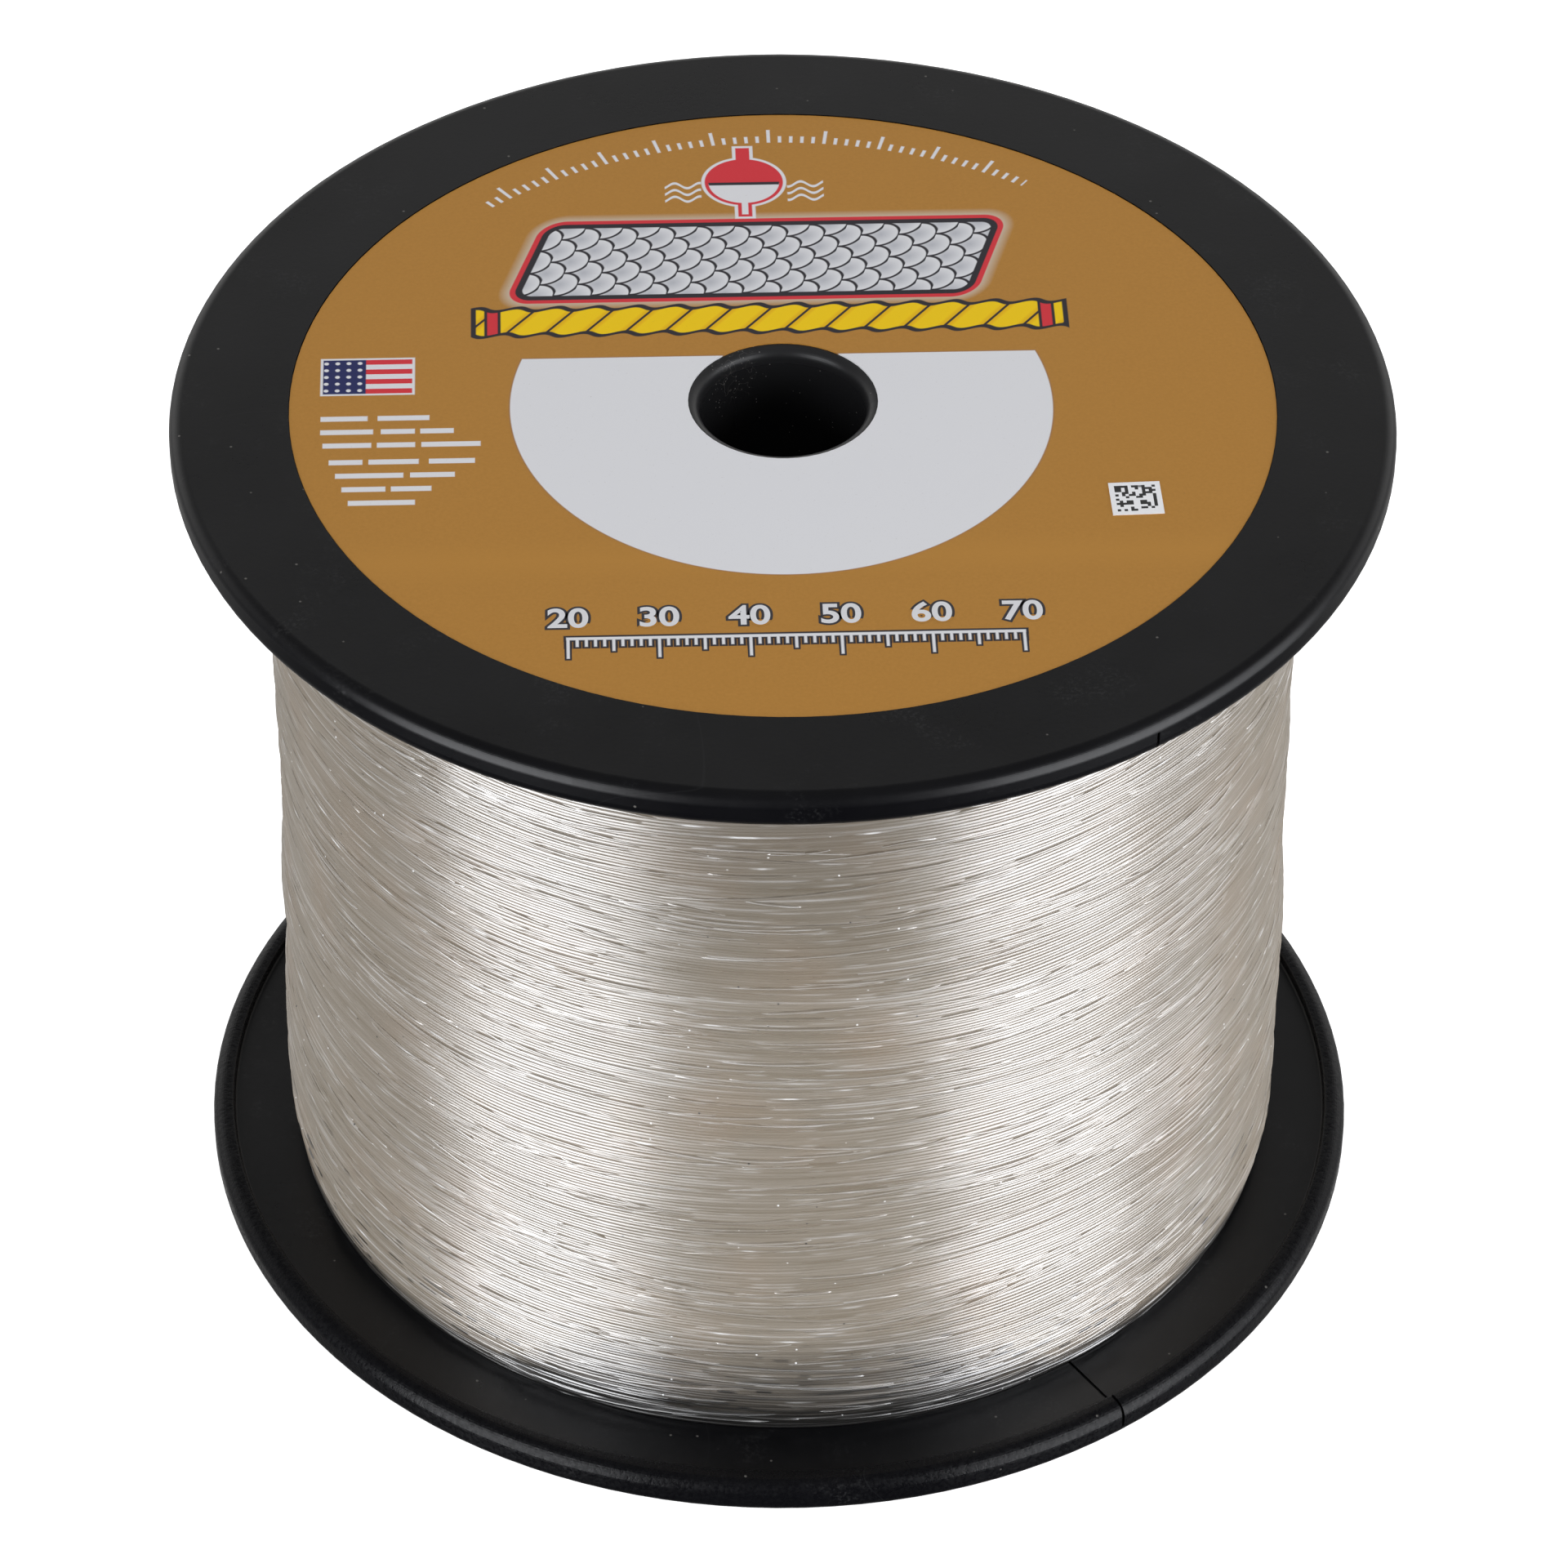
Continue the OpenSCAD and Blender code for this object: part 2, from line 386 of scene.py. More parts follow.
line = {
    "thickness": 0.43,
    "sides": 8,
    "halfTurns": 120,            # turns in each of the two pieces
    "steps": 172,                # faces round the pack
    "weld": 0.005,               # points nearer than this are joined
    "crease": 110,               # edges flatter than this are shaded round
    "packDiameter": 120.7,
    "packWander": 0.35,          # a slow wave up the pack's outline, with a faster one on it
    "waveLengths": (83, 29),     # both as in the pack's solid
    "waveStart": 20,             # degrees
    "fastShare": 0.35,
    "lumps": 0.2,                # uneven filling, up and down and round the pack
    "bulges": (                  # larger ones: direction, height, reach, size
        (185, 66, 12, -0.7), (185, 34, 6, -0.7), (185, 9, 6, -0.6), (-5, 39, 10, 0.6),
        (-5, 10, 9, 0.2)),
    "bulgeWidth": 40,            # degrees round the pack
    "shoulder": 1.4,
    "foot": 0.9,                 # the shoulder at the lower flange
    "shoulderReach": 4.5,
    "innerRadius": 48.3,
    "sink": 0.12,                # how far the wound turns lie under the pack's outline
    "roundness": 0.37,
    "unevenness": 0.014,         # how far single turns stand proud or lie deep
    "proudKnots": 44,            # places round the pack where that changes
    "looseness": 0.10,           # and how much further near the lower flange
    "looseReach": 3.5,
    "sway": 0.8,                 # how far turns wander up and down
    "swayFade": 6,               # and how near the flanges they lie straight
    "crowding": 0.05,            # how far the grooves between them wander
    "crowdKnots": 30,
    "furthest": 2.1,             # no turn strays further than so many times the usual
    "seed": 41,
    "shade": (0.231, 0.191, 0.138),
    "pale": (0.338, 0.294, 0.241),
    "warm": (0.33, 0.245, 0.17),
    "dark": (0.13, 0.10, 0.07),
    # painted highlight: the colour of glints painted onto turns, crossing crests and specks
    "paintedGlint": (0.95, 0.95, 0.94),
    # the spool's black between the turns, also used as painted shade low on the pack
    "gap": (0.012, 0.011, 0.010),
    "paintedShadeDepth": (3.5, 16),       # how far up the painted shade and the spool showing through reach, at the sides and in the middle
    "middle": (26, 14),          # half the width of the deeper painted shade in the middle, and how soft its edges are
    "paintedShadeFade": 1.7,
    "slits": (13, 16),           # how far up single dark gaps reach, and how soft that is
    "paintedUpperShade": (64, 44, 1.4),     # painted shade under the upper flange: where it starts, over what reach, how late
    "specks": (0.9, 0.11, 0.8),  # how close, how big and how rare
    "roughness": 0.31,
    "metal": 0.04,
    "refraction": 2.06,
}

crossing = {
    "count": 1500,
    "steps": 8,
    "sides": 5,
    "crease": 80,
    "drawn": 24,                 # degrees round the pack, before each has its own span
    "spans": (7, 34),
    "shortness": 1.6,            # the higher, the more of them are short
    "slope": 2.6,
    "bow": 0.25,
    "margin": (0.8, 0.3),        # kept from the flanges by their middles, and by all of them
    "proud": 0.055,
    "dive": 0.34,                # how deep their ends go in
    "diveLate": 5,               # the higher, the nearer to the ends
    "seed": 77,
}

tape = {
    "turn": (78, 101),           # degrees round the pack
    "height": (37.8, 55.0),
    "margin": (4, 1),            # line this near to it, round and up, is pressed flat
    "pressed": -0.3,
    "steps": (46, 34),
    "crease": 50,
    "proud": (0.02, 0.08),       # its two faces, over the pack's outline
    "tooth": (1.5, 0.35),        # width and depth of the cutter's teeth in its two short edges
    "tail": (60, 106),           # the line's last stretch runs in under it
    "tailHeight": (39.5, 47.5),
    "tailLift": -0.1,            # its middle, over the pack's outline
    "tailCurve": 1.3,            # it climbs late
    "tailDive": (0.5, 9),        # how deep its start goes in, and how soon it is out
    "tailSteps": 40,
    "tailNumber": 9999.5,        # its number in the lay, far from every turn's
    "clear": (0.80, 0.77, 0.69),
    "wrinkles": 0.15,
}


def makeWaves(seed, rounds, climbs, size):       # smooth random waves that close round the pack
    dice = np.random.default_rng(seed)
    waves = []
    for count in rounds:
        for climb in climbs:
            high = dice.normal() * size / (1 + 0.25 * count) * (climbs[0] / climb) ** -0.6
            steep = 2 * math.pi / climb * dice.choice([-1, 1])
            waves.append((high, count, steep, dice.uniform(0, 2 * math.pi)))
    return waves


swayWaves = makeWaves(line["seed"], range(1, 10), (61, 27, 13), 0.32)
lumpWaves = makeWaves(line["seed"] + 2, range(1, 7), (47, 31, 19), 0.5)


def addWaves(waves, turn, z):
    fade = line["swayFade"]
    share = np.clip((z - packBase) / fade, 0, 1) * np.clip((packTop - z) / fade, 0, 1)
    return share * sum(high * np.sin(count * turn + steep * z + start)
                       for high, count, steep, start in waves)


def addBulges(turn, z):
    total = 0
    for direction, height, reach, size in line["bulges"]:
        away = np.abs((np.degrees(turn) - direction + 180) % 360 - 180)
        total = total + size * np.exp(-(away / line["bulgeWidth"]) ** 2 - ((z - height) / reach) ** 2)
    return total


def packRadius(z, turn):
    low, high = z - packBase, packTop - z
    slow, fast = line["waveLengths"]
    wave = (np.sin(np.radians(360 * z / slow + line["waveStart"]))
            + line["fastShare"] * np.sin(np.radians(360 * z / fast)))
    ends = (line["foot"] * np.exp(-2 * (low / line["shoulderReach"]) ** 2)
            + line["shoulder"] * np.exp(-2 * (high / line["shoulderReach"]) ** 2))
    return (line["packDiameter"] / 2 + line["packWander"] * wave - ends
            + line["lumps"] * addWaves(lumpWaves, turn, z) + addBulges(turn, z))


def readPoints(piece):
    points = np.zeros(len(piece.data.vertices) * 3)
    piece.data.vertices.foreach_get("co", points)
    return points.reshape(-1, 3) * 1000


def writePoints(piece, radius, turn, z):
    points = np.stack([radius * np.cos(turn), radius * np.sin(turn), z], axis=1) * 0.001
    piece.data.vertices.foreach_set("co", points.ravel())
    piece.data.update()


def selectVertices(piece, test):
    for part in (piece.data.vertices, piece.data.edges, piece.data.polygons):
        part.foreach_set("select", [False] * len(part))
    for vertex in piece.data.vertices:
        vertex.select = test(vertex.co * 1000)


def noteLay(piece, rows):            # the number of the turn at each point, which the material reads
    piece.data.attributes.new("lay", "FLOAT", "POINT").data.foreach_set("value", rows)


def makeWoundHalf(name, bottom):
    pitch, radius, weld = line["thickness"], line["packDiameter"] / 2, line["weld"]
    deselectAll()
    bpy.ops.mesh.primitive_circle_add(vertices=line["sides"], radius=mm(pitch / 2), fill_type="NOTHING",
                                      location=(mm(radius), 0, mm(bottom + pitch / 2)),
                                      rotation=(math.pi / 2, 0, 0))
    half = bpy.context.object
    half.name = name
    bpy.ops.object.transform_apply(location=True, rotation=True, scale=True)
    selectVertices(half, lambda spot: spot.x < radius - 2 * weld)
    bpy.ops.object.mode_set(mode="EDIT")
    bpy.ops.mesh.delete(type="VERT")
    bpy.ops.object.mode_set(mode="OBJECT")
    rows = half.modifiers.new("rows", "ARRAY")
    rows.count = line["halfTurns"]
    rows.use_relative_offset, rows.use_constant_offset = False, True
    rows.constant_offset_displace = (0, 0, mm(pitch))
    rows.use_merge_vertices, rows.merge_threshold = True, mm(weld)
    bpy.ops.object.modifier_apply(modifier="rows")
    top = bottom + pitch * line["halfTurns"]
    for level in (bottom, top):           # the two ends run in to the barrel
        selectVertices(half, lambda spot: abs(spot.z - level) < 2 * weld and spot.x > radius - 1)
        bpy.ops.object.mode_set(mode="EDIT")
        bpy.ops.mesh.extrude_region_move(
            TRANSFORM_OT_translate={"value": (mm(line["innerRadius"] - radius), 0, 0)})
        bpy.ops.object.mode_set(mode="OBJECT")
    selectVertices(half, lambda spot: spot.x < radius - 1)
    bpy.ops.object.mode_set(mode="EDIT")
    bpy.ops.mesh.edge_face_add()
    bpy.ops.mesh.select_all(action="SELECT")
    bpy.ops.mesh.spin(steps=line["steps"], angle=2 * math.pi, center=(0, 0, 0), axis=(0, 0, 1))
    bpy.ops.mesh.select_all(action="SELECT")
    bpy.ops.mesh.remove_doubles(threshold=mm(weld))
    bpy.ops.mesh.normals_make_consistent(inside=False)
    bpy.ops.object.mode_set(mode="OBJECT")
    return half


def makeTurnTable(seed, knots):           # a random number for each turn at each knot round the pack
    drawn = np.random.default_rng(seed).normal(0, 1, (2 * line["halfTurns"] + 2, knots))
    return drawn.clip(-line["furthest"], line["furthest"])


proudTable = makeTurnTable(line["seed"] + 1, line["proudKnots"])
shiftTable = makeTurnTable(line["seed"] + 3, line["crowdKnots"])
shiftTable[0] = shiftTable[2 * line["halfTurns"]:] = 0


def readTable(table, row, turn):          # smooth and closed round the pack
    knots = table.shape[1]
    along = (turn / (2 * math.pi) % 1) * knots
    first = np.floor(along).astype(int)
    ease = along - first
    ease = ease * ease * (3 - 2 * ease)
    return table[row, first % knots] * (1 - ease) + table[row, (first + 1) % knots] * ease


def shiftTurns(rows, turn):               # neighbours share their groove, so some turns look thin
    row = np.clip(np.floor(rows + 0.001).astype(int), 0, 2 * line["halfTurns"])
    part = rows - row
    shift = readTable(shiftTable, row, turn) * (1 - part) + readTable(shiftTable, row + 1, turn) * part
    return line["crowding"] * shift


def layWoundHalf(half):
    points = readPoints(half)
    radius = np.hypot(points[:, 0], points[:, 1])
    turn = np.arctan2(points[:, 1], points[:, 0])
    z = points[:, 2]
    outside = radius > line["packDiameter"] / 2 - 1
    rows = (z - packBase) / line["thickness"]
    groove = np.abs(rows - np.round(rows)) < 0.05
    upper = np.clip(np.floor(rows + 0.06).astype(int), 0, 2 * line["halfTurns"]) + 1
    lower = np.where(groove, upper - 1, upper)
    proud = (readTable(proudTable, upper, turn) + readTable(proudTable, lower, turn)) / 2
    uneven = line["unevenness"] + line["looseness"] * np.exp(-(z - packBase) / line["looseReach"])
    moved = z + shiftTurns(rows, turn) + line["sway"] * addWaves(swayWaves, turn, z)
    bulge = (radius - line["packDiameter"] / 2) * line["roundness"]
    laid = packRadius(moved, turn) - line["sink"] - line["thickness"] / 2 + bulge + proud * uneven
    writePoints(half, np.where(outside, laid, radius), turn, np.where(outside, moved, z))
    noteLay(half, rows)
    deselectAll()
    half.select_set(True)
    bpy.context.view_layer.objects.active = half
    bpy.ops.object.shade_smooth_by_angle(angle=math.radians(line["crease"]))


def makeCrossingLine():
    radius, thick = line["packDiameter"] / 2, line["thickness"]
    deselectAll()
    bpy.ops.mesh.primitive_circle_add(vertices=crossing["sides"], radius=mm(thick / 2),
                                      fill_type="NGON", location=(mm(radius), 0, 0),
                                      rotation=(math.pi / 2, 0, 0))
    strands = bpy.context.object
    strands.name = "crossingLine"
    bpy.ops.object.transform_apply(location=True, rotation=True, scale=True)
    bpy.ops.object.mode_set(mode="EDIT")
    bpy.ops.mesh.select_all(action="SELECT")
    bpy.ops.mesh.spin(steps=crossing["steps"], angle=-math.radians(crossing["drawn"]),
                      center=(0, 0, 0), axis=(0, 0, 1))
    bpy.ops.mesh.select_all(action="SELECT")
    bpy.ops.mesh.normals_make_consistent(inside=False)
    bpy.ops.object.mode_set(mode="OBJECT")
    copies = strands.modifiers.new("copies", "ARRAY")
    copies.count, copies.use_relative_offset = crossing["count"], False
    bpy.ops.object.modifier_apply(modifier="copies")
    layCrossingLine(strands)
    bpy.ops.object.shade_smooth_by_angle(angle=math.radians(crossing["crease"]))
    return strands


def layCrossingLine(strands):
    dice = np.random.default_rng(crossing["seed"])
    points = readPoints(strands)
    each = len(points) // crossing["count"]
    strand = np.arange(len(points)) // each
    along = np.arctan2(points[:, 1], points[:, 0])
    along = (along - along.min()) / (along.max() - along.min())
    outward = np.hypot(points[:, 0], points[:, 1]) - line["packDiameter"] / 2
    up = points[:, 2]
    count = crossing["count"]
    low, high = crossing["spans"]
    margin, leastMargin = crossing["margin"]
    spans = np.radians(low + (high - low) * dice.uniform(0, 1, count) ** crossing["shortness"])
    starts = dice.uniform(-math.pi, math.pi, count)
    heights = dice.uniform(packBase + margin, packTop - margin, count)
    slopes = np.radians(dice.normal(0, crossing["slope"], count))
    bows = dice.normal(0, crossing["bow"], count)
    prouds = crossing["proud"] * dice.uniform(0.2, 1, count)
    middle = along - 0.5
    turn = starts[strand] + spans[strand] * middle
    run = line["packDiameter"] / 2 * spans[strand] * middle
    z = heights[strand] + run * np.tan(slopes[strand]) + bows[strand] * (1 - 4 * middle ** 2)
    z = z + line["sway"] * addWaves(swayWaves, turn, z)
    z = np.clip(z, packBase + leastMargin, packTop - leastMargin)
    ends = np.abs(2 * middle) ** crossing["diveLate"]
    wrapped = np.degrees(turn) % 360
    (start, end), (bottom, top), (beside, above) = tape["turn"], tape["height"], tape["margin"]
    held = ((wrapped > start - beside) & (wrapped < end + beside)
            & (z > bottom - above) & (z < top + above))
    lift = prouds[strand] * (1 - ends) - crossing["dive"] * ends
    lift = np.where(held, tape["pressed"], lift)
    radius = packRadius(z, turn) - line["sink"] - line["thickness"] / 2 + lift + outward
    writePoints(strands, radius, turn, z + up)
    # their numbers start well above the last turn's
    noteLay(strands, 3 * line["halfTurns"] + strand + 0.5 + 0.98 * up / line["thickness"])


def clearLine():
    material, paint = newPaint("clearLine")
    spot = paint.place()
    x, y, z = paint.split(spot)
    lay = paint.node("Attribute", {"attribute_name": "lay"}, {}, "Fac")
    turn = lay.whole()
    broad = paint.noise(paint.gather(x * 0.04, y * 0.04, lay * 0.85), 1.0, 3, 0.6)
    single = paint.noise(paint.gather(x * 0.05, y * 0.05, turn * 3.7), 1.0, 2, 0.5)
    short = paint.noise(paint.gather(x * 0.17, y * 0.17, turn * 5.3), 1.0, 1, 0.5)
    tint = paint.noise(spot, 0.07, 2)
    core = (abs(lay.fraction() - 0.5)).below(0.24, 0.25)       # the middle of each turn
    base = paint.mix((broad * 0.5 + single * 0.5).above(0.5, 0.42), line["shade"], line["pale"])
    base = paint.mix(single.below(0.38, 0.1) * 0.06, base, line["dark"])
    # painted glints: bright streaks along the middles of some turns
    base = paint.mix(single.above(0.62, 0.08) * core * 0.3, base, line["paintedGlint"])
    base = paint.mix(tint.above(0.6, 0.25) * 0.35, base, line["warm"])
    level, reach, late = line["paintedUpperShade"]
    # painted shade under the upper flange, strongest in the front middle
    upper = ((z - level) / reach).clamp() ** late * (0.25 + 0.75 * abs(x).below(18, 20))
    base = paint.mix(upper * 0.5, base, (0, 0, 0))
    # the lowest turns darken: the black spool shows through them, with a painted reflection of the
    # lower flange, deepest in the front middle
    shallow, deep = line["paintedShadeDepth"]
    depth = shallow + (deep - shallow) * abs(x).below(*line["middle"])
    unshaded = ((z - packBase) / depth).clamp() ** line["paintedShadeFade"]
    seen = (unshaded + (single - 0.5) * 2.2 * (1 - unshaded) * unshaded.above(0.12, 0.2)).clamp()
    base = paint.mix(1 - seen, base, line["gap"])
    high, soft = line["slits"]
    slit = short.below(0.355, 0.03) * z.below(packBase + high, soft) * broad.below(0.52, 0.1)
    base = paint.mix(slit, base, line["gap"])
    crossed = lay.above(2.5 * line["halfTurns"], 1)
    crest = (abs(lay.fraction() - 0.5)).below(0.1, 0.16) * crossed
    lot = paint.node("TexWhiteNoise", {"noise_dimensions": "1D"}, {"W": turn})
    # painted glints along the crests of some crossing strands
    paintedCrestGlint = lot.above(0.45, 0.1) * crest
    base = paint.mix(paintedCrestGlint * 0.45, base, line["paintedGlint"])
    # more painted glints, short and scattered along the turns
    base = paint.mix(short.above(0.66, 0.1) * core * 0.25, base, line["paintedGlint"])
    base = paint.mix(short.above(0.755, 0.06) * core * 0.8, base, line["paintedGlint"])
    # specks: the bright ones are painted glints, the dark ones take the gap colour
    close, big, rare = line["specks"]
    chance, other, _ = paint.split(paint.cells(spot, close, "Color"))
    speck = paint.cells(spot, close, "Distance").below(big, 0.06) * chance.above(rare, 0.02)
    base = paint.mix(speck * other.above(0.72, 0.02), base, line["paintedGlint"])
    base = paint.mix(speck * other.below(0.22, 0.02), base, line["gap"])
    rough = (line["roughness"] + (broad - 0.5) * 0.25 - paintedCrestGlint * 0.1).clamp()
    paint.finish({"Base Color": base, "Roughness": rough, "Metallic": line["metal"],
                  "IOR": line["refraction"], "Specular IOR Level": 1.0,
                  "Normal": paint.bump(broad, 0.02)})
    return material


lineFinish = clearLine()
for halfName, halfBottom in (("lowerTurns", packBase),
                             ("upperTurns", packBase + line["thickness"] * line["halfTurns"])):
    woundHalf = makeWoundHalf(halfName, halfBottom)
    layWoundHalf(woundHalf)
    dress(woundHalf, lineFinish)
    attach(woundHalf, "root")
    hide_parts("line_winding")
    print(halfName, len(woundHalf.data.polygons), "faces")

crossingLine = makeCrossingLine()
dress(crossingLine, lineFinish)
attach(crossingLine, "root")
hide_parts("line_winding")
print("line wound:", len(crossingLine.data.polygons), "faces in the crossing turns")


# labels and sticker

label = {
    "turn": 2.2,                     # how far the print sits off square
    "fibres": (2.4, 3, 0.65),        # the paper's grain: size, detail, roughness
    "fibreDepth": 0.004,
    "roughness": 0.48,
    "gold": (0.490, 0.234, 0.043),
    "goldPale": (0.520, 0.250, 0.048),
    "goldDeep": (0.460, 0.215, 0.038),
    "white": (0.83, 0.83, 0.85),
    "grey": (0.56, 0.57, 0.61),
    "glow": (0.72, 0.66, 0.56),
    "ink": (0.030, 0.027, 0.034),
    "red": (0.74, 0.040, 0.055),
    "yellow": (1.0, 0.66, 0.003),
    "amber": (0.86, 0.44, 0.003),
    "navy": (0.022, 0.028, 0.12),
    "shadow": (0.30, 0.16, 0.11),                # soft edge of the blank field
    "fleck": (0.2, 0.12, 0.06),
    "field": (-0.2, -0.77, 30.95, 8.55),         # centre, radius and flat top of the blank field
    "band": (-28.6, 5.0),                        # paler line that a printing roller left
    "bandGold": (0.527, 0.252, 0.0465),
    # lines are half as wide as what is printed, and edges are distances from what they go round
    "dial": {"inner": 50.6, "short": 51.9, "long": 53.2, "line": 0.2,
             "start": 54, "end": 131, "step": 1.5},
    "scales": {"centre": (-2.0, 27.2), "half": (26.0, 6.6), "corner": 1.5, "slant": 0.3,
               "size": 2.2, "line": 0.17, "edges": (0.8, 1.45, 2.0)},
    "rope": {"middle": 15.6, "centre": -1.0, "length": 68, "half": 2.5, "swell": 0.13,
             "step": 4.6, "slant": 0.42, "seam": 0.2, "shadow": 0.75, "edge": 0.6,
             "whipping": 1.9, "whippingLines": (0.95, 0.6)},
    "float": {"centre": (-3.2, 42.6), "radius": 4.2, "edges": (0.45, 0.85),
              "stem": (0.38, 2.3), "belt": (-0.3, 0.28)},
    "ripples": {"spacing": 1.35, "line": 0.24, "half": 1.8, "near": 0.9, "far": 5.2,
                "swell": 0.5, "pace": 2.1},
    "patch": {"centre": (-47.4, 5.7), "half": (5.1, 3.2), "edge": 0.3, "stripes": 7,
              "split": -0.2, "dots": 1.28, "dot": 0.27, "dotsStart": -0.9, "dotsEnd": -0.45},
    "dashes": {"first": -2.15, "spacing": 2.48, "gap": 0.62, "left": -52.7, "half": 0.45,
               "last": 6, "word": 5.2, "wordGap": 0.8},
    "ruler": {"base": -42.3, "half": 25.0, "line": 0.24, "tick": 0.17, "margin": 0.2,
              "edge": 0.3, "depths": (1.4, 0.8, 1.2)},     # each tick's, more at fives, more at tens
    "backRing": (51.5, 0.35),        # radius and width of the bottom label's white ring
}


def boxAround(x, y, halfWidth, halfHeight):
    return (abs(x) - halfWidth).most(abs(y) - halfHeight)


def roundedBox(x, y, halfWidth, halfHeight, corner):
    dx, dy = abs(x) - (halfWidth - corner), abs(y) - (halfHeight - corner)
    return radiusOf(dx.most(0), dy.most(0)) + dx.most(dy).least(0) - corner


def toNearest(value, step):                      # distance to the nearest multiple of a step
    return abs((value / step + 0.5).fraction() - 0.5) * step


def printField(paint, x, y, ground):
    cx, cy, radius, top = label["field"]
    toField = (radiusOf(x - cx, y - cy) - radius).most(y - top)
    ground = paint.mix(toField.below(0.16, 0.2) * 0.5, ground, label["shadow"])
    return paint.stamp(ground, toField, label["white"])


def printDial(paint, x, y, ground):
    dial = label["dial"]
    radius = radiusOf(x, y)
    angle = paint.node("Math", {"operation": "ARCTAN2"}, {0: y, 1: x}) * (180 / math.pi)
    across = toNearest(angle, dial["step"]) * (math.pi / 180 * dial["inner"])
    isLong = toNearest(angle, dial["step"] * 5).below(0.5, 0.02)
    reach = dial["short"] + (dial["long"] - dial["short"]) * isLong
    toTick = (across - dial["line"]).most(dial["inner"] - radius).most(radius - reach)
    toTick = toTick.most(dial["start"] - angle).most(angle - dial["end"])
    return paint.stamp(ground, toTick, label["white"])


def printScales(paint, x, y, ground):            # a slanted band of fish scales
    scales, size = label["scales"], label["scales"]["size"]
    cx, cy = scales["centre"]
    dy = y - cy
    dx = x - cx - dy * scales["slant"]
    toBand = roundedBox(dx, dy, *scales["half"], scales["corner"])
    column = dx / size
    along = column.fraction() * size
    across = toNearest(dy + (column.whole() * 0.5).fraction() * 2 * size, 2 * size)
    toArc = radiusOf(along, across) - size
    under = radiusOf(size - along, size - across)
    inside = toArc.below(0, 0.02)
    depth = (inside * (toArc + size) + (1 - inside) * under) / size
    fill = paint.mix((depth * 1.25 - 0.1).clamp(), label["grey"], label["white"])
    fill = paint.stamp(fill, abs(toArc) - scales["line"], label["ink"])
    inkEdge, redEdge, glowEdge = scales["edges"]
    ground = paint.mix((toBand - glowEdge).below(0, 1.5) * 0.75, ground, label["glow"])
    ground = paint.stamp(ground, toBand - redEdge, label["red"])
    ground = paint.stamp(ground, toBand - inkEdge, label["ink"])
    return paint.stamp(ground, toBand, fill)


def printRope(paint, x, y, ground):
    rope = label["rope"]
    dx, dy = abs(x - rope["centre"]), y - rope["middle"]
    lay = x / rope["step"] - dy / rope["half"] * rope["slant"]
    swell = 1 - rope["swell"] + rope["swell"] * ((lay + 0.25) * 2 * math.pi).sine()
    toRope = (abs(dy) - rope["half"] * swell).most(dx - rope["length"] / 2)
    toSeam = toNearest(lay + 0.5, 1) * rope["step"]
    toWhipping = abs(dx - rope["length"] / 2 + rope["whipping"])
    inkLine, redLine = rope["whippingLines"]
    fill = paint.mix(toSeam.below(rope["shadow"], 0.5) * 0.6, label["yellow"], label["amber"])
    fill = paint.stamp(fill, toSeam - rope["seam"], label["ink"])
    fill = paint.stamp(fill, toWhipping - inkLine, label["ink"])
    fill = paint.stamp(fill, toWhipping - redLine, label["red"])
    ground = paint.stamp(ground, toRope - rope["edge"], label["ink"])
    return paint.stamp(ground, toRope, fill)


def printFloat(paint, x, y, ground):             # a round float with its stem, and ripples beside it
    (fx, fy), size = label["float"]["centre"], label["float"]["radius"]
    (redEdge, whiteEdge), (beltAt, beltLine) = label["float"]["edges"], label["float"]["belt"]
    stemLine, stemReach = label["float"]["stem"]
    ripples = label["ripples"]
    dx, dy = x - fx, y - fy
    water = dy + size * 0.45 - ripples["swell"] * (dx * ripples["pace"]).sine()
    toRipple = toNearest(water, ripples["spacing"]) - ripples["line"]
    toRipple = toRipple.most(abs(water) - ripples["half"])
    toRipple = toRipple.most(abs(dx) - (size + ripples["far"])).most(size + ripples["near"] - abs(dx))
    ground = paint.stamp(ground, toRipple, label["white"])
    toFloat = (radiusOf(dx, dy) - size).least(boxAround(dx, dy, stemLine, size + stemReach))
    ground = paint.stamp(ground, toFloat - whiteEdge, label["white"])
    ground = paint.stamp(ground, toFloat - redEdge, label["red"])
    fill = paint.mix(dy.above(beltAt, 0.1), label["white"], label["red"])
    ground = paint.stamp(ground, toFloat, fill)
    return paint.stamp(ground, toFloat.most(abs(dy - beltAt) - beltLine), label["ink"])


def printPatch(paint, x, y, ground):             # dots and stripes
    patch = label["patch"]
    (px, py), (halfWidth, halfHeight), pitch = patch["centre"], patch["half"], patch["dots"]
    dx, dy = x - px, y - py
    stripe = (((dy / halfHeight + 1) * (patch["stripes"] / 2)).whole() * 0.5).fraction() * 2
    fill = paint.mix(stripe, label["red"], label["white"])
    fill = paint.stamp(fill, dx - patch["split"], label["navy"])
    toDot = radiusOf(toNearest(dx - patch["dotsStart"], pitch), toNearest(dy, pitch)) - patch["dot"]
    fill = paint.stamp(fill, toDot.most(dx - patch["dotsEnd"]), label["white"])
    toPatch = boxAround(dx, dy, halfWidth, halfHeight)
    ground = paint.stamp(ground, toPatch - patch["edge"], label["white"])
    return paint.stamp(ground, toPatch, fill)


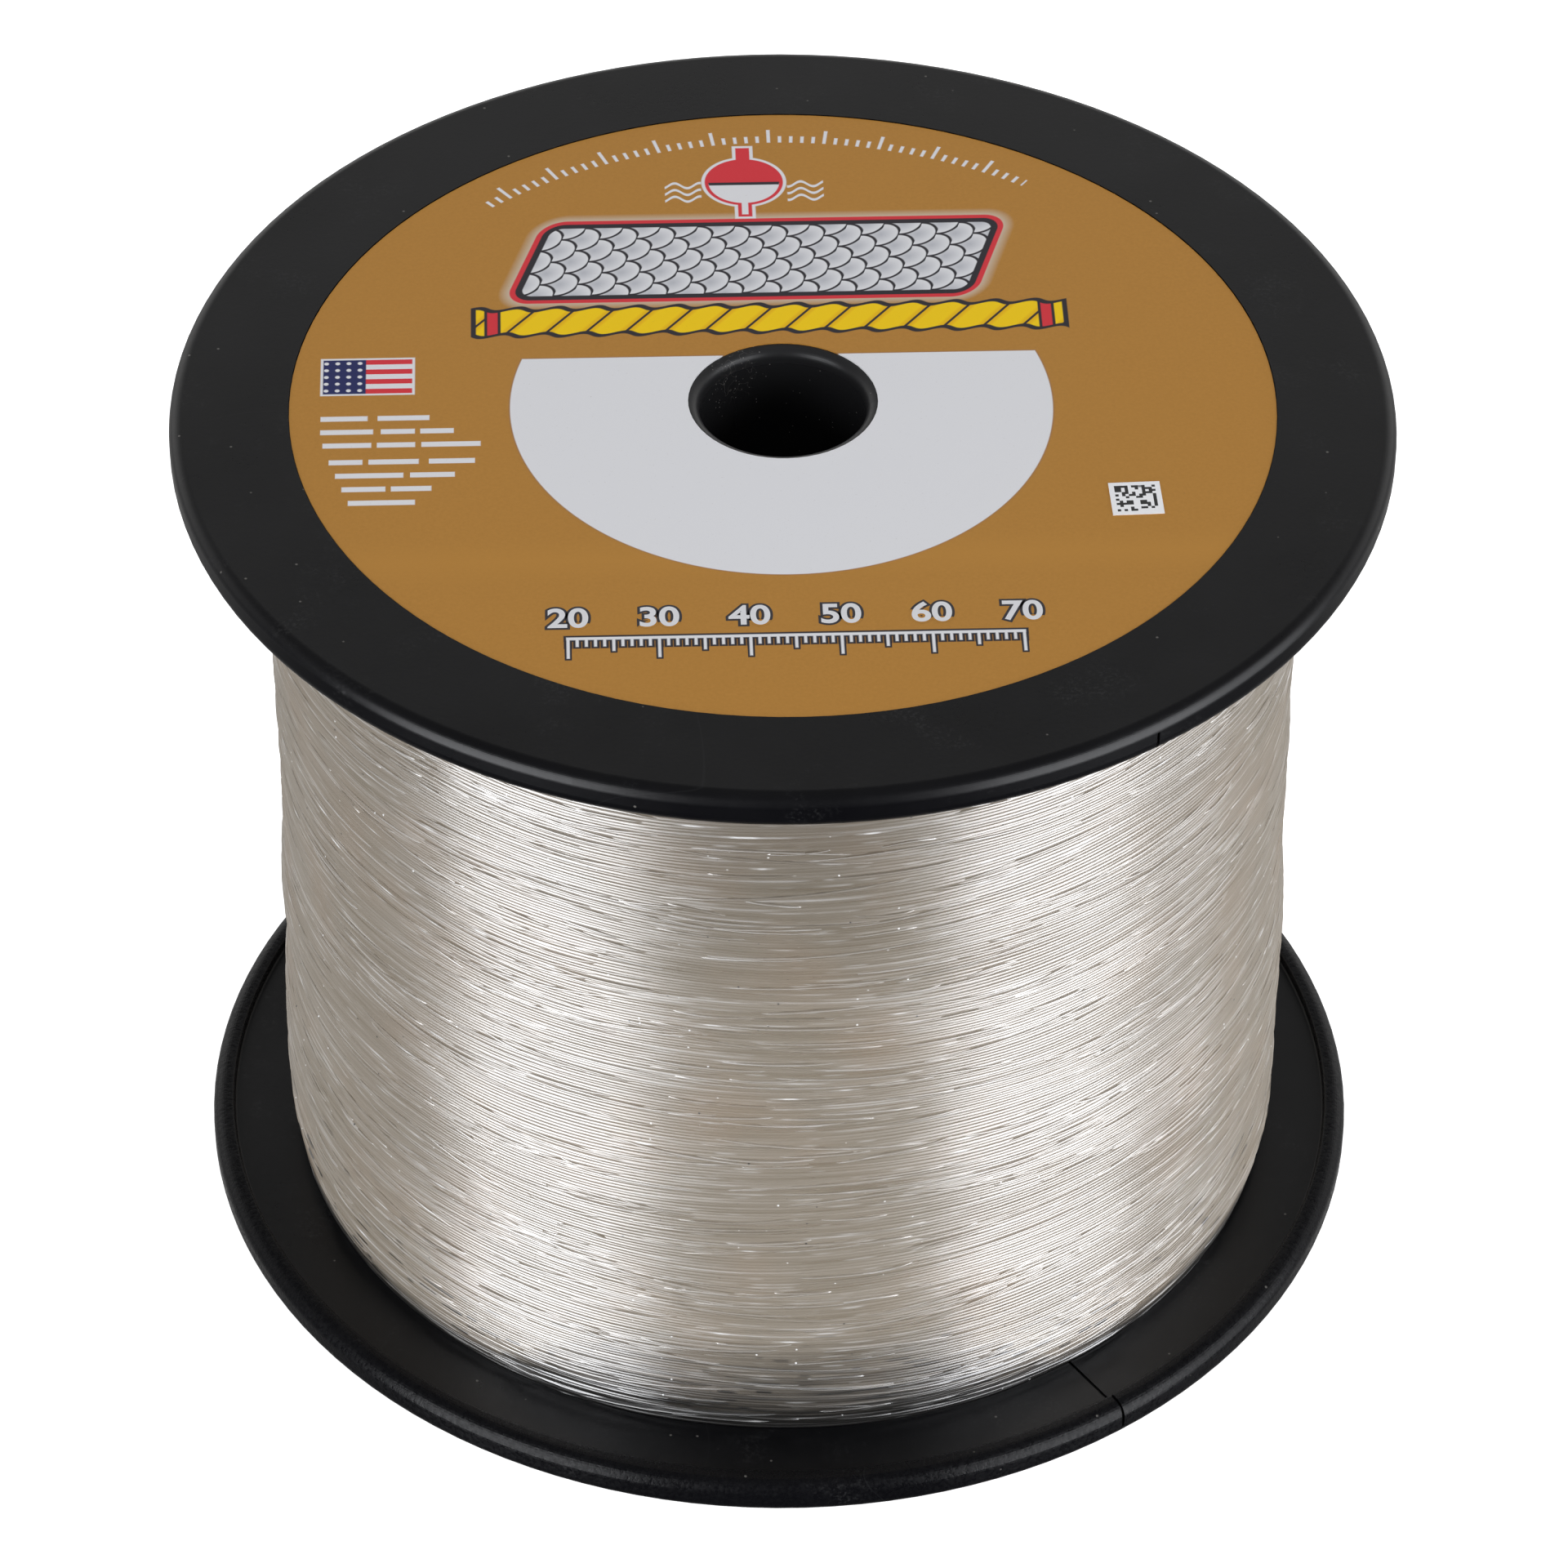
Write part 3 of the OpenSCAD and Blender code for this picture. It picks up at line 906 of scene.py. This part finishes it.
def printDashes(paint, x, y, ground):            # rows of dashes where small print would stand
    dashes = label["dashes"]
    down = dashes["first"] - y
    down = down - down.above(dashes["spacing"] * 2.6, 0.01) * dashes["gap"]
    row = (down / dashes["spacing"] + 0.5).whole()
    left = dashes["left"] + (row - 1.6).most(0) * 0.75
    length = (13 + 3 * row).least(26 - 2.95 * row)
    words = (length / dashes["word"]).whole()
    part = (x - left) / length
    part = part + 0.05 * ((part * 2 * math.pi + row * 1.9).sine() - (row * 1.9).sine())
    toWord = ((part.least(0.999) * words).fraction() - 1) * length / words + dashes["wordGap"]
    toDash = toWord.most(toNearest(down, dashes["spacing"]) - dashes["half"])
    toDash = toDash.most(left - x).most(x - left - length)
    toDash = toDash.most(-row - 0.5).most(row - (dashes["last"] + 0.5))
    return paint.stamp(ground, toDash, label["white"])


def printRuler(paint, x, y, ground):
    ruler = label["ruler"]
    base, half = ruler["base"], ruler["half"] + ruler["margin"]
    fifth = toNearest(x, 5).below(0.4, 0.02)
    tenth = toNearest(x + 5, 10).below(0.4, 0.02)
    each, atFives, atTens = ruler["depths"]
    depth = each + atFives * fifth + atTens * tenth
    toTick = (toNearest(x, 1) - ruler["tick"]).most(abs(x) - half)
    toTick = toTick.most(y - base).most(base - y - depth)
    toRuler = toTick.least(boxAround(x, y - base, half, ruler["line"]))
    ground = paint.stamp(ground, toRuler - ruler["edge"], label["ink"])
    return paint.stamp(ground, toRuler, label["white"])


def printedPaper():
    material, paint = newPaint("printedPaper")
    spot = paint.place(label["turn"])
    x, y, z = paint.split(spot)
    grain = paint.noise(spot, *label["fibres"])
    cloud = paint.noise(spot, 0.12, 2)
    colour = paint.mix(grain.above(0.5, 0.5), label["goldDeep"], label["goldPale"])
    colour = paint.mix(cloud.above(0.5, 0.5) * 0.4, colour, label["gold"])
    bandAt, bandWidth = label["band"]
    rolled = abs(y - bandAt).below(bandWidth * 0.3, bandWidth)
    colour = paint.mix(rolled * 0.9, colour, label["bandGold"])
    for layer in (printField, printDial, printScales, printRope,
                  printFloat, printPatch, printDashes, printRuler):
        colour = layer(paint, x, y, colour)
    fleck = paint.noise(spot, 5.0, 2).above(0.74, 0.06) * 0.25
    colour = paint.mix(fleck, colour, label["fleck"])
    paint.finish({"Base Color": colour, "Roughness": label["roughness"] + (grain - 0.5) * 0.1,
                  "IOR": 1.45, "Specular IOR Level": 0.25,
                  "Normal": paint.bump(grain, label["fibreDepth"])})
    return material


def plainPaper():
    material, paint = newPaint("plainPaper")
    spot = paint.place(label["turn"])
    x, y, z = paint.split(spot)
    grain = paint.noise(spot, *label["fibres"])
    colour = paint.mix(grain.above(0.5, 0.5), label["goldDeep"], label["goldPale"])
    ringAt, ringWidth = label["backRing"]
    ring = abs(radiusOf(x, y) - ringAt).below(ringWidth, 0.12)
    colour = paint.mix(ring, colour, label["white"])
    paint.finish({"Base Color": colour, "Roughness": label["roughness"] + (grain - 0.5) * 0.1,
                  "IOR": 1.45, "Normal": paint.bump(grain, label["fibreDepth"])})
    return material


sticker = {
    "centre": (39.7, -17.8, 0),
    "turn": 4.0,
    "paper": (0.99, 0.99, 1.0),
    "ink": (0.02, 0.02, 0.02),
    "cells": 12,
    "cell": 0.385,
    "roughness": 0.4,
}


def stickerPaper():
    material, paint = newPaint("stickerPaper")
    x, y, z = paint.split(paint.place(sticker["turn"], sticker["centre"]))
    cell = paint.gather((x / sticker["cell"]).whole(), (y / sticker["cell"]).whole(), 0)
    chance = paint.node("TexWhiteNoise", {}, {"Vector": cell})
    half = sticker["cells"] / 2 * sticker["cell"]
    check = chance.above(0.5, 0.01) * boxAround(x, y, half, half).below(0, 0.03)
    grain = paint.noise(paint.place(), 3.0, 2)
    paper = paint.mix(grain, sticker["paper"], tuple(c * 0.96 for c in sticker["paper"]))
    paint.finish({"Base Color": paint.mix(check, paper, sticker["ink"]),
                  "Roughness": sticker["roughness"] + check * 0.1})
    return material


numerals = {
    "values": (20, 30, 40, 50, 60, 70),
    "size": 4.6,
    "height": -38.9,                 # middle of the row, across the print
    "step": 10.0,
    "outline": 0.40,                 # how much fatter the dark edges are than the bare type
    "weight": 0.10,                  # and the white digits
    "thickness": 0.012,
    "edgeLevel": 0.007,              # over the label
    "level": 0.014,
}


def inkPaint(name, shade):
    material, paint = newPaint(name)
    grain = paint.noise(paint.place(), *label["fibres"])
    paint.finish({"Base Color": paint.mix(grain, shade, tuple(c * 0.93 for c in shade)),
                  "Roughness": label["roughness"]})
    return material


def makeNumerals(name, outline, level, shade):
    made = []
    middle = (len(numerals["values"]) - 1) / 2
    for place, number in enumerate(numerals["values"]):
        deselectAll()
        bpy.ops.object.text_add()
        digit = bpy.context.object
        digit.data.body = str(number)
        digit.data.size = mm(numerals["size"])
        digit.data.align_x, digit.data.align_y = "CENTER", "CENTER"
        digit.data.extrude = mm(numerals["thickness"] / 2)
        digit.data.offset = mm(outline)
        bpy.ops.object.convert(target="MESH")
        along = (place - middle) * numerals["step"]
        digit.matrix_world = (Matrix.Rotation(math.radians(label["turn"]), 4, "Z")
                              @ Matrix.Translation((mm(along), mm(numerals["height"]), mm(level))))
        bpy.ops.object.transform_apply(location=True, rotation=True, scale=True)
        made.append(digit)
    for digit in made:
        digit.select_set(True)
    bpy.context.view_layer.objects.active = made[0]
    bpy.ops.object.join()
    row = bpy.context.object
    row.name = name
    dress(row, inkPaint(name, shade))
    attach(row, "root")
    return row


def clearTape():
    material, paint = newPaint("clearTape")
    spot = paint.place()
    cloud = paint.noise(spot, 0.3, 3)
    bubble = paint.noise(spot, 1.1, 2, 0.6).above(0.62, 0.1)
    paint.finish({"Base Color": tape["clear"], "Roughness": 0.08 + cloud * 0.1 + bubble * 0.25,
                  "Alpha": (0.10 + cloud * 0.12 + bubble * 0.18).clamp(), "Specular IOR Level": 0.8,
                  "Normal": paint.bump(cloud, tape["wrinkles"])})
    return material


def makeEndTape():
    wide, tall = tape["steps"]
    deselectAll()
    bpy.ops.mesh.primitive_grid_add(x_subdivisions=wide, y_subdivisions=tall, size=mm(2))
    patch = bpy.context.object
    patch.name = "endTape"
    thicken = patch.modifiers.new("thickness", "SOLIDIFY")
    thicken.thickness, thicken.offset = mm(1), 0
    bpy.ops.object.modifier_apply(modifier="thickness")
    points = readPoints(patch)
    across, along, face = points[:, 0], points[:, 1], points[:, 2] > 0
    low, high = tape["height"]
    z = (low + high) / 2 + along * (high - low) / 2
    width, depth = tape["tooth"]
    teeth = np.abs((z / width) % 1 - 0.5) * 2 * depth
    teeth = teeth * np.abs(across) ** 8 / (line["packDiameter"] / 2)      # at its two short edges
    start, end = np.radians(tape["turn"])
    turn = (start + end) / 2 + across * ((end - start) / 2 - teeth)
    ripple = 0.02 * np.sin(across * 9 + along * 4) + 0.015 * np.sin(along * 13 - across * 5)
    under, over = tape["proud"]
    writePoints(patch, packRadius(z, turn) + ripple + np.where(face, over, under), turn, z)
    bpy.ops.object.shade_smooth_by_angle(angle=math.radians(tape["crease"]))
    return patch


def makeLineTail():                              # the line's last stretch, which runs in under the tape
    steps = tape["tailSteps"]
    bend = bpy.data.curves.new("lineTail", "CURVE")
    bend.dimensions, bend.use_fill_caps = "3D", True
    bend.bevel_depth, bend.bevel_resolution = mm(line["thickness"] / 2), 2
    spline = bend.splines.new("POLY")
    spline.points.add(steps)
    turn = np.radians(np.linspace(*tape["tail"], steps + 1))
    part = np.linspace(0, 1, steps + 1)
    low, high = tape["tailHeight"]
    z = low + (high - low) * part ** tape["tailCurve"]
    dive, soon = tape["tailDive"]
    lift = tape["tailLift"] - dive * (1 - np.clip(part * soon, 0, 1))
    radius = packRadius(z, turn) + lift
    for point, x, y, height in zip(spline.points, radius * np.cos(turn), radius * np.sin(turn), z):
        point.co = (mm(x), mm(y), mm(height), 1)
    tail = bpy.data.objects.new("lineTail", bend)
    scene.collection.objects.link(tail)
    deselectAll()
    tail.select_set(True)
    bpy.context.view_layer.objects.active = tail
    bpy.ops.object.convert(target="MESH")
    tail = bpy.context.object
    noteLay(tail, np.full(len(tail.data.vertices), tape["tailNumber"]))
    return tail


dress(nodes["top_label"], printedPaper())
dress(nodes["bottom_label"], plainPaper())
makeNumerals("numeralEdges", numerals["outline"], labelTop + numerals["edgeLevel"], label["ink"])
makeNumerals("numerals", numerals["weight"], labelTop + numerals["level"], label["white"])
dress(nodes["code_sticker"], stickerPaper())
print("labels dressed")

tapeFinish = clearTape()
dress(nodes["start_tape"], tapeFinish)
endTape = makeEndTape()
dress(endTape, tapeFinish)
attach(endTape, "root")
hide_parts("end_tape")
lineTail = makeLineTail()
dress(lineTail, lineFinish)
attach(lineTail, "root")
print("tape laid over the line's end")
